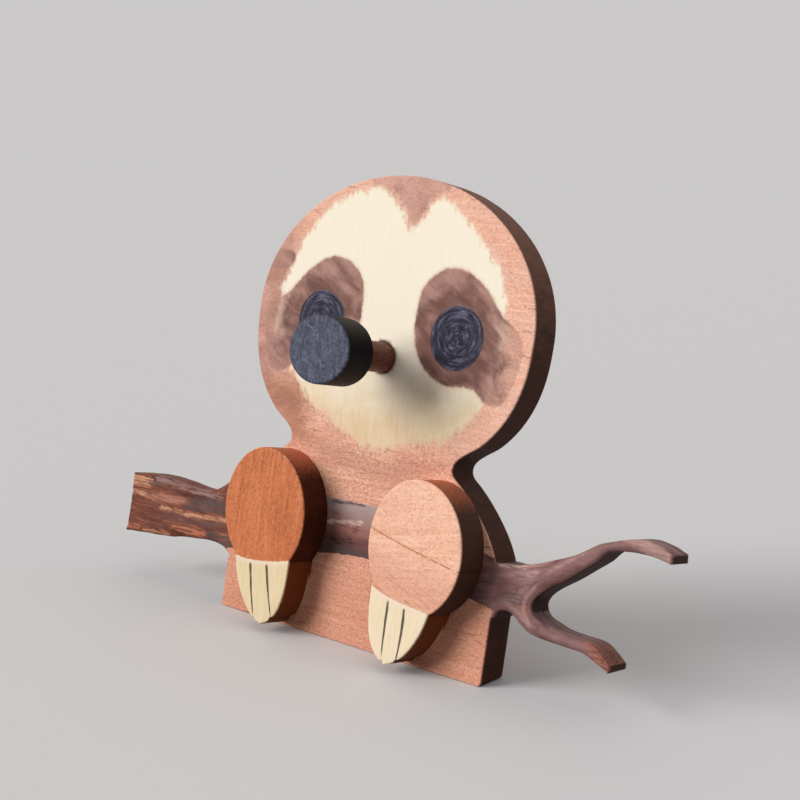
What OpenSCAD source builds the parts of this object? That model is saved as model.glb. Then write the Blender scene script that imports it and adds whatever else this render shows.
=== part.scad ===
// Eyeglasses display stand: a sloth holding a branch, sawn from flat plank stock.
// One plank carries head, body and branch. Two paws are glued on its front, a nose block
// stands off its face on a dowel, and a strut behind lets the plank lean back.
// X runs to the right, -Y to the front, +Z up. The origin is the middle of the plank's base face.

/* [Plank] */
// Thickness of the plank stock that every sawn piece is cut from
stock_t = 12; // [9:0.5:15]
// Angle by which the plank leans back from upright
lean = 8.8; // [5:0.2:13]
// Height of the plank from its base to the crown, measured along its front face
plank_h = 155.2; // [152.5:0.1:160]
// Width of the body between its straight sides
body_w = 113; // [104:1:126]
// Height of the straight sides, measured along the plank
side_h = 34; // [30:0.5:37]
// Radius of the two corners at the base
base_corner_r = 1.2; // [1:0.25:4]

/* [Head] */
// Width of the head
head_w = 115.4; // [108:0.2:124]
// Height of the head
head_h = 95.2; // [90:0.2:99]
// Fullness of the jaw: 2 is an ellipse, more is squarer
jaw_power = 2.4; // [2:0.1:2.8]
// Height of the narrowest point of the neck
neck_v = 64; // [61:0.5:66]
// Width of the neck at its narrowest point
neck_w = 69; // [62:0.5:74]
// Rounding of the neck's notch
notch_r = 3.6; // [2.5:0.1:5]

/* [Branch] */
// Reach of the left stump beyond the body's side
stump_reach = 55.5; // [45:0.5:65]
// Height of the stump's middle at its sawn end
stump_v = 27.3; // [24:0.1:31]
// Width of the stump at its sawn end
stump_w = 22.5; // [18:0.5:26]
// Reach of the upper right twig beyond the body's side
upper_reach = 56.5; // [48:0.5:66]
// Height of the upper twig's middle at its end
upper_v = 51.4; // [48:0.2:55]
// Width of the upper twig at its end
upper_w = 2.8; // [2:0.2:4.6]
// Reach of the lower right twig beyond the body's side
lower_reach = 42; // [34:0.5:50]
// Height of the lower twig's middle at its end
lower_v = 16; // [13:0.2:18]
// Width of the lower twig at its end
lower_w = 2.2; // [1.6:0.2:4]
// Distance of the fork's crotch from the body's side
fork_reach = 13.5; // [11:0.5:17]

/* [Paws] */
// Half width of a paw's oval pad
paw_rx = 18.1; // [16:0.1:21]
// Half height of a paw's oval pad
paw_rv = 21.4; // [18:0.1:23]
// Height of the pads' centre above the base, along the plank
paw_v = 38.7; // [38:0.1:44]
// Tilt of the left pad's long axis, its top away from the middle
left_pad_tilt = 12.4; // [0:0.2:15]
// Tilt of the right pad's long axis, its top towards the middle
right_pad_tilt = 4.4; // [0:0.2:15]
// Distance of the left paw's centre from the middle
left_paw_x = 31.4; // [26:0.1:36]
// Distance of the right paw's centre from the middle
right_paw_x = 32.9; // [26:0.1:36]
// Distance from a pad's centre down to the claws' tip
claw_drop = 37.7; // [35:0.1:38]
// Distance of the claws' tip from the pad's centre, inwards
claw_lean = 5.2; // [2:0.1:8]
// Distance of the left claws' outer edge from the pad's centre
left_claw_outer = 10.2; // [8:0.1:12]
// Distance of the right claws' outer edge from the pad's centre
right_claw_outer = 9.3; // [8:0.1:12]
// Distance of the claws' inner edge from the pad's centre
claw_inner = 14.4; // [11:0.1:15]

/* [Nose] */
// Half width of the oval nose block
nose_rx = 12.5; // [10.5:0.1:15]
// Half height of the oval nose block
nose_rv = 10.9; // [9.5:0.1:13]
// Distance of the nose from the middle
nose_x = 0.5; // [-2:0.1:3]
// Drop of the nose's centre below the head's centre
nose_drop = 12.3; // [6:0.1:18]
// Gap between the face and the nose block, where a bridge rests
nose_gap = 20; // [14:0.5:26]
// Diameter of the dowel that carries the nose block
dowel_d = 10; // [6:0.5:12]
// Depth of the dowel's blind hole in the face
face_hole = 8; // [5:0.5:8.5]
// Depth of the dowel's blind hole in the nose block
nose_hole = 7; // [4:0.5:8]
// Glue clearance round the dowel in its holes
glue_gap = 0.1; // [0.05:0.05:0.3]

/* [Rear strut] */
// Height of the strut along the back of the plank
strut_h = 58; // [45:1:70]
// Depth of the strut's foot behind the plank
strut_d = 38; // [30:1:48]
// Height of the strut's blunt heel
strut_heel = 7; // [4:0.5:12]
// Width of the strut's blunt top
strut_top = 5; // [3:0.5:10]

/* [Hidden] */
$fn = 96;

wood_color = [0.80, 0.56, 0.43];
orange_wood_color = [0.76, 0.46, 0.30];
nose_color = [0.20, 0.20, 0.23];
stain_color = [0.42, 0.24, 0.16];

// Steps of each curve
head_steps = 44;
curve_steps = 9;
pad_steps = 72;
big = 400;

base_d = stock_t / cos(lean);
body_r = body_w / 2;
neck_r = neck_w / 2;
head_v = plank_h - head_h / 2;
nose_v = head_v - nose_drop;

// Bends of the neck and the shoulder, as distances from the neck's notch
jaw_angle = -44;
shoulder_dx = 4;
shoulder_dv = 4.8;
shoulder_slope = 38;
shoulder_pull = 8.9;
side_pull = 8;

// ---- curves ----

// Point at t on the cubic curve with end points a, d and handles b, c
function bezier_at(a, b, c, d, t) =
  pow(1 - t, 3) * a + 3 * pow(1 - t, 2) * t * b + 3 * (1 - t) * t * t * c + t * t * t * d;

// Points of that curve without its first one
function bezier(a, b, c, d) =
  [for (i = [1 : curve_steps]) bezier_at(a, b, c, d, i / curve_steps)];

// Point at t between q and r on the smooth curve that passes through p, q, r and s
function smooth_at(p, q, r, s, t) =
  0.5 * (2 * q + (r - p) * t + (2 * p - 5 * q + 4 * r - s) * t * t
    + (3 * q - p - 3 * r + s) * t * t * t);

// Smooth curve through a list of points
function smooth(pts, steps = 4) =
  let (last = len(pts) - 1)
  [
    for (i = [0 : last - 1], j = [0 : steps - 1])
      smooth_at(pts[max(i - 1, 0)], pts[i], pts[i + 1], pts[min(i + 2, last)], j / steps),
    pts[last]
  ];

// Ellipse with half axes rx, rv
function oval(rx, rv) =
  [for (i = [0 : pad_steps - 1]) [rx * cos(360 * i / pad_steps), rv * sin(360 * i / pad_steps)]];

// Point of the head's outline: an ellipse above, fuller below
function head_at(a) =
  let (power = sin(a) < 0 ? 2 / jaw_power : 1)
  [
    head_w / 2 * pow(cos(a), power),
    head_v + head_h / 2 * sign(sin(a)) * pow(abs(sin(a)), power)
  ];

// Right half of the head and body, from the crown down to the base
function half_outline() =
  let (
    jaw = head_at(jaw_angle),
    jaw_step = jaw - head_at(jaw_angle + 1),
    jaw_pull = jaw_step / norm(jaw_step) * notch_r,
    notch = [neck_r, neck_v],
    notch_pull = [0, notch_r],
    shoulder = notch + [shoulder_dx, -shoulder_dv],
    slope = [cos(shoulder_slope), -sin(shoulder_slope)],
    side_top = [body_r, side_h],
    corner = [body_r - base_corner_r, base_corner_r]
  )
  concat(
    [for (i = [0 : head_steps]) head_at(90 + (jaw_angle - 90) * i / head_steps)],
    bezier(jaw, jaw + jaw_pull, notch + notch_pull, notch),
    bezier(notch, notch - 0.7 * notch_pull, shoulder - 0.7 * notch_r * slope, shoulder),
    bezier(shoulder, shoulder + shoulder_pull * slope, side_top + [0, side_pull], side_top),
    [for (a = [0 : -15 : -90]) corner + base_corner_r * [cos(a), sin(a)]]
  );

// ---- plank ----

module body_outline() {
  half = half_outline();
  polygon(concat(half, [for (i = [len(half) - 1 : -1 : 1]) [-half[i].x, half[i].y]]));
}

// Stump on the left: its own frame starts at the body's side and runs outwards
module stump_outline() {
  end_top = stump_v + stump_w / 2;
  end_foot = stump_v - stump_w / 2;
  top = [[-9, 50], [1, 46.5], [5, 43.6], [9, 41], [13.5, 39], [23, 38.3], [33, 39.2]];
  top_end = [[stump_reach - 12, end_top + 1], [stump_reach, end_top]];
  foot_end = [[stump_reach, end_foot], [stump_reach - 20, end_foot + 1.5]];
  foot = [[24, 19.3], [13, 20.5], [4, 20.2], [0, 18.5], [-9, 15]];
  polygon(concat(smooth(concat(top, top_end)), smooth(concat(foot_end, foot))));
}

// Forked branch on the right: its own frame starts at the body's side and runs outwards
module fork_outline() {
  upper_end = [upper_reach, upper_v];
  lower_end = [lower_reach, lower_v];
  top = [[-9, 38.5], [0, 38.8], [4, 39], [9, 40.3], [15.5, 42.5], [23.5, 45.8], [29, 49], [34, 52]];
  top_end = [upper_end + [-12, 3.7], upper_end + [-5, 3.3], upper_end + [0, upper_w / 2]];
  inner = concat(
    [upper_end - [0, upper_w / 2], upper_end - [8, 0.6], [38, 50], [33.5, 46], [28.5, 42]],
    [[23.5, 38], [18, 34.3], [fork_reach + 1, 31], [fork_reach, 28.3], [fork_reach + 1.8, 25.6]],
    [[20, 23.8], [26, 22.8], lower_end + [-8, 6.6], lower_end + [-3.6, 4.6]],
    [lower_end + [0.4, lower_w / 2]]
  );
  foot = concat(
    [lower_end - [0, lower_w / 2], lower_end - [3.5, -0.4], lower_end - [9, -2.5], [27, 18.9]],
    [[18, 19.3], [13.5, 20], [10.5, 21.5], [8, 23.4], [5, 24.8], [2, 24.2], [0, 21.5], [-9, 19]]
  );
  polygon(concat(smooth(concat(top, top_end)), smooth(inner), smooth(foot)));
}

// Places its children in the plank's frame: x to the right, y up the front face, z out of it
module on_plank() {
  translate([0, -base_d / 2, 0]) rotate([90 - lean, 0, 0]) children();
}

module board() {
  hole_r = dowel_d / 2 + glue_gap;
  color(wood_color)
    difference() {
      on_plank()
        difference() {
          translate([0, 0, -stock_t]) {
            linear_extrude(stock_t) body_outline();
            translate([body_r, 0, 0]) linear_extrude(stock_t) fork_outline();
            mirror([1, 0, 0]) translate([body_r, 0, 0]) linear_extrude(stock_t) stump_outline();
          }
          translate([nose_x, nose_v, -face_hole]) cylinder(h = face_hole + 1, r = hole_r);
        }
      translate([-big / 2, -big / 2, -big]) cube([big, big, big]);
    }
}

// ---- paws ----

// Outline of the claws below the pad's centre, with the inner side towards +x
module claw_outline(claw_outer) {
  tip = [claw_lean, -claw_drop];
  outer = [-claw_outer, -16.7];
  inner = [claw_inner, -14.7];
  polygon(concat(
    [[-claw_outer, -6], outer],
    bezier(outer, outer + [1.2, -9], tip + [-7.5, 1.5], tip),
    bezier(tip, tip + [8, 2.5], inner + [0, -12], inner),
    [[claw_inner - 4, -6]]
  ));
}

// Paw with its claws turned towards +x
module paw(claw_outer, pad_tilt) {
  linear_extrude(stock_t) {
    rotate(pad_tilt) polygon(oval(paw_rx, paw_rv));
    claw_outline(claw_outer);
  }
}

module left_paw() {
  color(orange_wood_color) on_plank() translate([-left_paw_x, paw_v, 0]) paw(left_claw_outer, left_pad_tilt);
}

module right_paw() {
  color(wood_color)
    on_plank() translate([right_paw_x, paw_v, 0]) mirror([1, 0, 0])
      paw(right_claw_outer, -right_pad_tilt);
}

// ---- nose ----

module nose_block() {
  hole_r = dowel_d / 2 + glue_gap;
  color(nose_color)
    on_plank()
      translate([nose_x, nose_v, nose_gap])
        difference() {
          linear_extrude(stock_t) polygon(oval(nose_rx, nose_rv));
          translate([0, 0, -1]) cylinder(h = nose_hole + 1, r = hole_r);
        }
}

module nose_dowel() {
  color(stain_color)
    on_plank()
      translate([nose_x, nose_v, -face_hole])
        cylinder(h = face_hole + nose_gap + nose_hole, r = dowel_d / 2);
}

// ---- strut ----

module rear_strut() {
  back = base_d / 2;
  top_y = back + strut_h * tan(lean);
  side = [
    [back, 0],
    [back + strut_d, 0],
    [back + strut_d, strut_heel],
    [top_y + strut_top, strut_h],
    [top_y, strut_h]
  ];
  color(wood_color)
    rotate([90, 0, 90]) linear_extrude(stock_t, center = true) polygon(side);
}

board();
left_paw();
right_paw();
nose_block();
nose_dowel();
rear_strut();
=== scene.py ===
"""Dresses the eyeglasses display stand: sawn, sanded, stained and hand-painted wood.

Lengths on the pieces are in millimetres in the plank's own frame: u runs to the right, v up the
leaning front face and w out of it. scene_points() turns them into the row frame's metres.
"""
import math
from functools import reduce

import bpy
import numpy as np
from mathutils import Matrix, Vector, noise
from mathutils.geometry import delaunay_2d_cdt


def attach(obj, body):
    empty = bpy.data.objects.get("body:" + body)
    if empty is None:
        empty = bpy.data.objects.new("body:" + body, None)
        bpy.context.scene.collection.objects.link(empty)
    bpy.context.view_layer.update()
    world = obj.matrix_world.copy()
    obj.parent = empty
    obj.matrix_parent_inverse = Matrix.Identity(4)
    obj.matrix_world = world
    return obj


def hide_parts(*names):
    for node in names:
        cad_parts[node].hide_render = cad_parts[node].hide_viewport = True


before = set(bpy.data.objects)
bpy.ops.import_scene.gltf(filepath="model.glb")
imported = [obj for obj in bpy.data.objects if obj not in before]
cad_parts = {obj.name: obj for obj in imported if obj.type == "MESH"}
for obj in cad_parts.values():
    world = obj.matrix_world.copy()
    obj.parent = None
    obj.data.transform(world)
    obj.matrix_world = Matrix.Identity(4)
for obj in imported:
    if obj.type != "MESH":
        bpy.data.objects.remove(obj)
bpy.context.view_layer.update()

# ---- sizes and the plank's frame ----

MM = 0.001  # a millimetre in metres
LEAN = math.radians(8.8)  # how far the plank leans back
STOCK = 12.0  # thickness of every sawn piece
BASE_HALF = STOCK / math.cos(LEAN) / 2  # half the depth of the plank's level base
BODY_HALF = 56.5  # half the width of the plank's foot
NOSE_GAP = 20.0  # from the face to the back of the nose block
NOSE_AT = (0.5, 95.3)  # middle of the nose and its dowel
DOWEL_HOLE = 5.1  # radius of both blind holes


def scene_points(p):
    """Plank coordinates in millimetres, as rows, to the row frame in metres."""
    u, v, w = p[:, 0], p[:, 1], p[:, 2]
    y = v * math.sin(LEAN) - w * math.cos(LEAN) - BASE_HALF
    z = v * math.cos(LEAN) + w * math.sin(LEAN)
    return np.stack([u, y, z], axis=1) * MM


def plank_points(p):
    """Row frame in metres to plank coordinates in millimetres."""
    x, y, z = p[:, 0] / MM, p[:, 1] / MM + BASE_HALF, p[:, 2] / MM
    v = y * math.sin(LEAN) + z * math.cos(LEAN)
    w = z * math.sin(LEAN) - y * math.cos(LEAN)
    return np.stack([x, v, w], axis=1)


# ---- outlines ----

SHARP_TURN = math.radians(30)
CIRCLE_POINTS = 44


def smooth_loop(points, steps):
    """Closed smooth curve through given points, with steps points from each to the next."""
    p = np.array(points, float)
    a, b, c, d = np.roll(p, 1, 0), p, np.roll(p, -1, 0), np.roll(p, -2, 0)
    rows = []
    for i in range(steps):
        t = i / steps
        rows.append(0.5 * (2 * b + (c - a) * t + (2 * a - 5 * b + 4 * c - d) * t * t
                           + (3 * b - a - 3 * c + d) * t ** 3))
    return np.stack(rows, axis=1).reshape(-1, 2)


def norm(rows):
    """Length of a flat vector, or of each row."""
    return np.hypot(*rows.T)


def circle(centre, radius):
    a = np.arange(CIRCLE_POINTS) * 2 * math.pi / CIRCLE_POINTS
    return np.stack([centre[0] + radius * np.cos(a), centre[1] + radius * np.sin(a)], axis=1)


def inside_distance(points, loop):
    """Distance of each point to a closed outline, positive inside it."""
    a, b = loop, np.roll(loop, -1, 0)
    edge = b - a
    best = np.full(len(points), 1e9)
    inside = np.zeros(len(points), bool)
    for i in range(len(loop)):
        to = points - a[i]
        along = np.clip((to @ edge[i]) / max(edge[i] @ edge[i], 1e-12), 0, 1)
        best = np.minimum(best, norm(to - along[:, None] * edge[i]))
        crosses = (a[i, 1] > points[:, 1]) != (b[i, 1] > points[:, 1])
        if abs(edge[i, 1]) > 1e-12:
            at = a[i, 0] + (points[:, 1] - a[i, 1]) * edge[i, 0] / edge[i, 1]
            inside ^= crosses & (points[:, 0] < at)
    return np.where(inside, best, -best)


def without_crowding(loop, apart=0.4):
    """Drops points that come too soon after the last one, apart from sharp corners."""
    before, after = loop - np.roll(loop, 1, 0), np.roll(loop, -1, 0) - loop
    turn = np.abs(np.arctan2(before[:, 0] * after[:, 1] - before[:, 1] * after[:, 0],
                             (before * after).sum(1)))
    kept = [loop[0]]
    for q, angle in zip(loop[1:], turn[1:]):
        if angle > SHARP_TURN or norm(q - kept[-1]) > apart:
            kept.append(q)
    return np.array(kept)


def face_loops(node, w):
    """Border loops of a CAD node's flat face at height w."""
    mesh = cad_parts[node].data
    p = plank_points(np.array([v.co[:] for v in mesh.vertices]))
    key = [tuple(np.round(q[:2], 3)) for q in p]
    border = {}
    for face in mesh.polygons:
        if all(abs(p[i, 2] - w) < 0.01 for i in face.vertices):
            ring = [key[i] for i in face.vertices]
            for a, b in zip(ring, ring[1:] + ring[:1]):
                if (b, a) in border:
                    del border[(b, a)]
                else:
                    border[(a, b)] = True
    follows = {a: b for a, b in border}
    loops = []
    while follows:
        start, nxt = next(iter(follows.items()))
        loop = [start]
        del follows[start]
        while nxt != start and nxt in follows:
            loop.append(nxt)
            nxt = follows.pop(nxt)
        loops.append(np.array(loop))
    return loops


def sawn_outline(node, w_front, step):
    """Anticlockwise outer outline of a CAD node's front face, with edges at most step long."""
    longest = max(face_loops(node, w_front), key=lambda q: norm(q - np.roll(q, -1, 0)).sum())
    loop = without_crowding(longest)
    out = []
    for a, b in zip(loop, np.roll(loop, -1, 0)):
        parts = max(1, math.ceil(norm(b - a) / step))
        out += [a + (b - a) * i / parts for i in range(parts)]
    out = np.array(out)
    x, y = out.T
    clockwise = (x * np.roll(y, -1) - np.roll(x, -1) * y).sum() < 0
    return out[::-1] if clockwise else out


def inward(loop):
    """Inward mitre direction at each point of an anticlockwise outline."""
    edge = np.roll(loop, -1, 0) - loop
    edge /= norm(edge)[:, None]
    before = np.roll(edge, 1, 0)
    n1 = np.stack([-before[:, 1], before[:, 0]], axis=1)
    n2 = np.stack([-edge[:, 1], edge[:, 0]], axis=1)
    mitre = n1 + n2
    return mitre / np.maximum(1 + (n1 * n2).sum(1), 0.6)[:, None]


def fitting(radii, loop, into, tries=40, smallest=0.06):
    """Edge radii made smaller round sharp corners and where the piece is narrow."""
    radii = radii.copy()
    edge = np.roll(loop, -1, 0) - loop
    length = norm(edge)
    for _ in range(tries):
        ring = loop + into * radii[:, None]
        along = ((np.roll(ring, -1, 0) - ring) * edge).sum(1) / length
        folded = along < 0.3 * length
        deeper = loop + into * (1.2 * radii)[:, None]
        narrow = inside_distance(deeper, loop) < 1.15 * radii
        tight = (folded | np.roll(folded, 1) | narrow) & (radii > smallest)
        if not tight.any():
            break
        radii[tight] *= 0.85
    return radii


def wander(points, size, seed):
    """Smooth noise from -1 to 1 at each point, with features of the given size."""
    return np.array([noise.noise(Vector((q[0] / size, q[1] / size, seed))) for q in points])


# ---- sawn pieces ----

ROUND_STEPS = 3  # facets round a sanded edge
SIDE_STEPS = 6  # facets down a sawn side
HEX_ROW = 0.866  # a row's height in a grid of even triangles, in grid steps
JITTER = 0.12  # how far a grid point may stray, in grid steps
BESIDE = 1.5  # points this near the outline know its inward direction
BEVEL_REACH = 20.0  # the back's points up to this height make room for the base's bevel


def inner_points(loop, step, clear):
    """Jittered hexagonal grid inside an outline, clear of the sanded edge at each outline point."""
    low, high = loop.min(0), loop.max(0)
    rows = np.arange(low[1], high[1], step * HEX_ROW)
    grid = np.array([(x + (step / 2 if j % 2 else 0), y)
                     for j, y in enumerate(rows) for x in np.arange(low[0], high[0], step)])
    rng = np.random.default_rng(11)
    grid += rng.uniform(-JITTER, JITTER, grid.shape) * step
    nearest = np.array([norm(loop - q).argmin() for q in grid])
    return grid[inside_distance(grid, loop) > 0.55 * step + clear[nearest]]


def ring_edges(start, count):
    return [(start + i, start + (i + 1) % count) for i in range(count)]


def flat_face(ring, inner, step, hole):
    """2D points and triangles of a flat face: the ring's points first, then the hole's, if any."""
    outlines, edges = [ring], ring_edges(0, len(ring))
    if hole:
        centre, radius = np.array(hole[0]), hole[1]
        outlines.append(circle(centre, radius))
        edges += ring_edges(len(ring), CIRCLE_POINTS)
        inner = inner[norm(inner - centre) > radius + 0.5 * step]
    pts = np.concatenate(outlines + [inner])
    verts, _, tris, origin, _, _ = delaunay_2d_cdt([Vector(q) for q in pts], edges, [], 1, 1e-6)
    # the triangulation numbers the points anew: back to the old numbers, with any new points last
    extra = [i for i, o in enumerate(origin) if not o]
    back_to = [o[0] if o else len(pts) + extra.index(i) for i, o in enumerate(origin)]
    pts = np.concatenate([pts] + [np.array([verts[i][:]]) for i in extra])
    tris = np.array([[back_to[i] for i in t] for t in tris])
    if hole:
        middle = pts[tris].mean(1)
        tris = tris[norm(middle - centre) > radius * 0.995]
    a, b, c = (pts[tris[:, k]] for k in range(3))
    area = (b[:, 0] - a[:, 0]) * (c[:, 1] - a[:, 1]) - (b[:, 1] - a[:, 1]) * (c[:, 0] - a[:, 0])
    return pts, np.where((area < 0)[:, None], tris[:, ::-1], tris)


def sawn_piece(node, seed, w_back, w_front, step, round_front, round_back, wobble, hole=None,
               on_table=False, outline_step=None):
    """A piece cut from flat stock with sanded edges.

    round_front, round_back and wobble give each outline point's edge radii and how far the outline
    may wander inwards. hole is (centre, radius, depth, side) of a blind hole, with side +1 on the
    front and -1 on the back. Returns points in the plank's frame, faces, each point's distance to
    the outline and, beside the outline, the inward direction there.
    """
    loop = sawn_outline(node, w_front, outline_step or step)
    into = inward(loop)
    loop = loop + into * (wobble(loop) * (1 + wander(loop, 6.0, seed)))[:, None]
    count = len(loop)
    rf, rb = (fitting(rounding(loop), loop, into) for rounding in (round_front, round_back))
    inner = inner_points(loop, step, np.maximum(rf, rb))
    points, faces = [], []

    def add(uv, w):
        """Adds points at height w and returns the number of the first."""
        start = sum(len(q) for q in points)
        points.append(np.column_stack([uv, np.broadcast_to(w, len(uv))]))
        return start

    def edge_ring(radii, w_flat, side, k):
        """Adds ring k of the sanded edge of the face at w_flat; ring 0 would lie in the face."""
        a = k / ROUND_STEPS * math.pi / 2
        return add(loop + into * (radii * (1 - math.sin(a)))[:, None],
                   w_flat - side * radii * (1 - math.cos(a)))

    ends = []
    for side, radii, w_end in ((1, rf, w_front), (-1, rb, w_back)):
        blind = hole is not None and hole[3] == side
        uv, tris = flat_face(loop + into * radii[:, None], inner, step, hole if blind else None)
        start = add(uv, w_end)
        faces += [tuple(start + t[::side]) for t in tris]
        ends.append(start)
        if blind:
            deep = w_end - side * hole[2]
            wall = add(circle(hole[0], hole[1]), deep)
            centre = add(np.array([hole[0]]), deep)
            for i, j in ring_edges(0, CIRCLE_POINTS):
                quad = (start + count + i, start + count + j, wall + j, wall + i)
                faces.append(quad[::side])
                faces.append((wall + i, wall + j, centre)[::side])

    # down over the front edge, the sawn side and the back edge
    rings = [ends[0]]
    rings += [edge_ring(rf, w_front, 1, k) for k in range(1, ROUND_STEPS + 1)]
    for k in range(1, SIDE_STEPS):
        t = k / SIDE_STEPS
        rings.append(add(loop, (w_front - rf) * (1 - t) + (w_back + rb) * t))
    rings += [edge_ring(rb, w_back, -1, k) for k in range(ROUND_STEPS, 0, -1)]
    rings.append(ends[1])
    for upper, lower in zip(rings, rings[1:]):
        faces += [(upper + i, lower + i, lower + j, upper + j) for i, j in ring_edges(0, count)]

    p = np.concatenate(points)
    edge_distance = inside_distance(p[:, :2], loop)
    inwards = np.zeros((len(p), 2))
    for i in np.flatnonzero(edge_distance < BESIDE):
        inwards[i] = into[norm(loop - p[i, :2]).argmin()]
    if on_table:
        # the base face is bevelled to the table, so the back's lowest points lie higher up the plank
        lift = np.maximum(-p[:, 2], 0) * math.tan(LEAN)
        p[:, 1] += lift * np.clip(1 - p[:, 1] / BEVEL_REACH, 0, 1)
    return p, faces, edge_distance, inwards


def make_object(name, node, p, faces, facts, material):
    """Builds the object, with its plank coordinates and paint distances as point attributes."""
    mesh = bpy.data.meshes.new(name)
    mesh.from_pydata(scene_points(p).tolist(), [], faces)
    mesh.validate()
    where = mesh.attributes.new("plank", "FLOAT_VECTOR", "POINT")
    where.data.foreach_set("vector", p.astype(np.float32).ravel())
    for key, values in facts.items():
        layer = mesh.attributes.new(key, "FLOAT", "POINT")
        layer.data.foreach_set("value", np.asarray(values, np.float32))
    mesh.polygons.foreach_set("use_smooth", [True] * len(mesh.polygons))
    obj = bpy.data.objects.new(name, mesh)
    bpy.context.scene.collection.objects.link(obj)
    mesh.materials.append(material)
    weigh = obj.modifiers.new("flat_faces", "WEIGHTED_NORMAL")
    weigh.keep_sharp = True
    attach(obj, "root")
    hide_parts(node)


# ---- painted shapes ----

EYE_MIDDLE = 0.4
EYE_OFFSET = 28.6
EYE_V = 104.7
EYE_RADIUS = 10.3

FACE_MASK = smooth_loop([
    (-48, 111), (-44, 124), (-38, 135), (-28, 145), (-15, 149.5), (-6, 148.5), (0, 143), (5, 137.5),
    (9, 140.5), (13, 147.2), (18, 147.5), (27, 141.5), (35, 134), (42, 126.5), (46, 114), (46.5, 98),
    (42, 86), (36, 77), (27, 71.5), (15, 69), (3, 65.5), (-12, 69.5), (-20, 74), (-31, 79.5),
    (-40, 89), (-47, 99)], 8)
RIGHT_PATCH = smooth_loop([
    (12.3, 117), (16.5, 123.5), (23, 126.6), (30, 126), (38, 121), (45, 113.5), (53, 107.5), (54, 98),
    (50, 87), (44, 85.5), (37, 89.6), (26, 89.6), (17.5, 94), (12.3, 103)], 8)
LEFT_PATCH = RIGHT_PATCH * (-1, 1) + (2 * EYE_MIDDLE, 0)
TEMPLE_PATCH = smooth_loop([(-58, 128), (-50, 127.5), (-44.5, 126.5), (-45, 122), (-52, 120.5),
                            (-59, 121)], 6)
CROWN = smooth_loop([(-16, 160), (-13, 151.5), (-6, 149.5), (0, 143.5), (5, 138), (9, 141.5),
                     (14, 149.5), (21, 152), (24, 160)], 8)
CHIN = smooth_loop([(-34, 66), (-12, 66.5), (4, 62.5), (18, 66), (34, 66), (20, 56), (0, 55),
                    (-18, 58)], 6)
BAND = smooth_loop([(-80, 18), (-56, 20.5), (-20, 26.5), (0, 29.3), (20, 29), (40, 26.5), (56, 24.5),
                    (80, 18), (80, 42), (56, 40), (36, 45), (12, 46.8), (-12, 46.6), (-40, 45),
                    (-80, 42)], 8)


def shaded_side(p, edge, inwards):
    """1 on the sawn sides that face down or to the right, where the branch gets painted shade, 0 on the
    faces and the upper sides.
    """
    side = np.clip(1 - edge / 0.7, 0, 1) * np.clip((-p[:, 2] - 1.0) / 0.8, 0, 1)
    side *= np.clip((STOCK - 0.9 + p[:, 2]) / 0.6, 0, 1)
    facing_up = np.clip((-0.4 - inwards[:, 1]) / 0.35, 0, 1)
    return side * np.clip(2.2 * np.maximum(inwards[:, 1], -inwards[:, 0]), 0, 1) * (1 - facing_up)


def bare_wood(uv):
    """How far the branch's paint lets the wood show, at the stump's end and the twigs' ends."""
    u, v = uv.T
    stump = 0.3 * np.clip((-u - 72) / 34, 0, 1)
    lower = 0.9 * np.clip((u - 86) / 8, 0, 1) * np.clip((106 - u) / 8, 0, 1) * (v < 30)
    upper = 0.25 * np.clip((u - 104) / 8, 0, 1) * (v > 40)
    return stump + lower + upper


def limb_depth(uv):
    """Distance outwards from the body's side, where the plank is branch; negative on the body."""
    u, v = uv.T
    shoulder = np.clip((v - 44.0) / 6.0, 0, 1) * 30.0 * (np.abs(u) < 64)
    foot = np.clip((20.0 - v) / 6.0, 0, 1) * 30.0 * (np.abs(u) < BODY_HALF + 1.5)
    # on the left the bark's border runs outwards up the shoulder
    slope = np.clip(v - 36.5, 0, 8) * 1.7 * (u < 0)
    return np.abs(u) - BODY_HALF - 0.3 - shoulder - foot - slope


def rim_of(p, edge, w_front):
    """1 on the rounded front edge, 0 away from it."""
    near = np.clip(1 - np.maximum(edge, 0) / 0.9, 0, 1)
    high = np.clip(1 - np.abs(p[:, 2] - w_front) / 0.9, 0, 1)
    return near * high


def board_facts(p, edge, inwards):
    """What the plank's paint needs to know at each point."""
    uv = p[:, :2]
    shapes = {"mask": FACE_MASK, "crown": CROWN, "chin": CHIN, "band": BAND}
    patches = [inside_distance(uv, shape) for shape in (RIGHT_PATCH, LEFT_PATCH, TEMPLE_PATCH)]
    return {key: inside_distance(uv, shape) for key, shape in shapes.items()} | {
        "patch": np.maximum.reduce(patches),
        "limb": limb_depth(uv),
        "limb_end": bare_wood(uv),
        "rim": rim_of(p, edge, 0.0),
        "depth": edge - 0.9 * p[:, 2],
        "shaded": shaded_side(p, edge, inwards),
    }


# ---- shader building ----

def rgb(r, g, b):
    """sRGB bytes to a linear colour."""
    def linear(c):
        c /= 255
        return c / 12.92 if c <= 0.04045 else ((c + 0.055) / 1.055) ** 2.4
    return (linear(r), linear(g), linear(b), 1.0)


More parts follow.
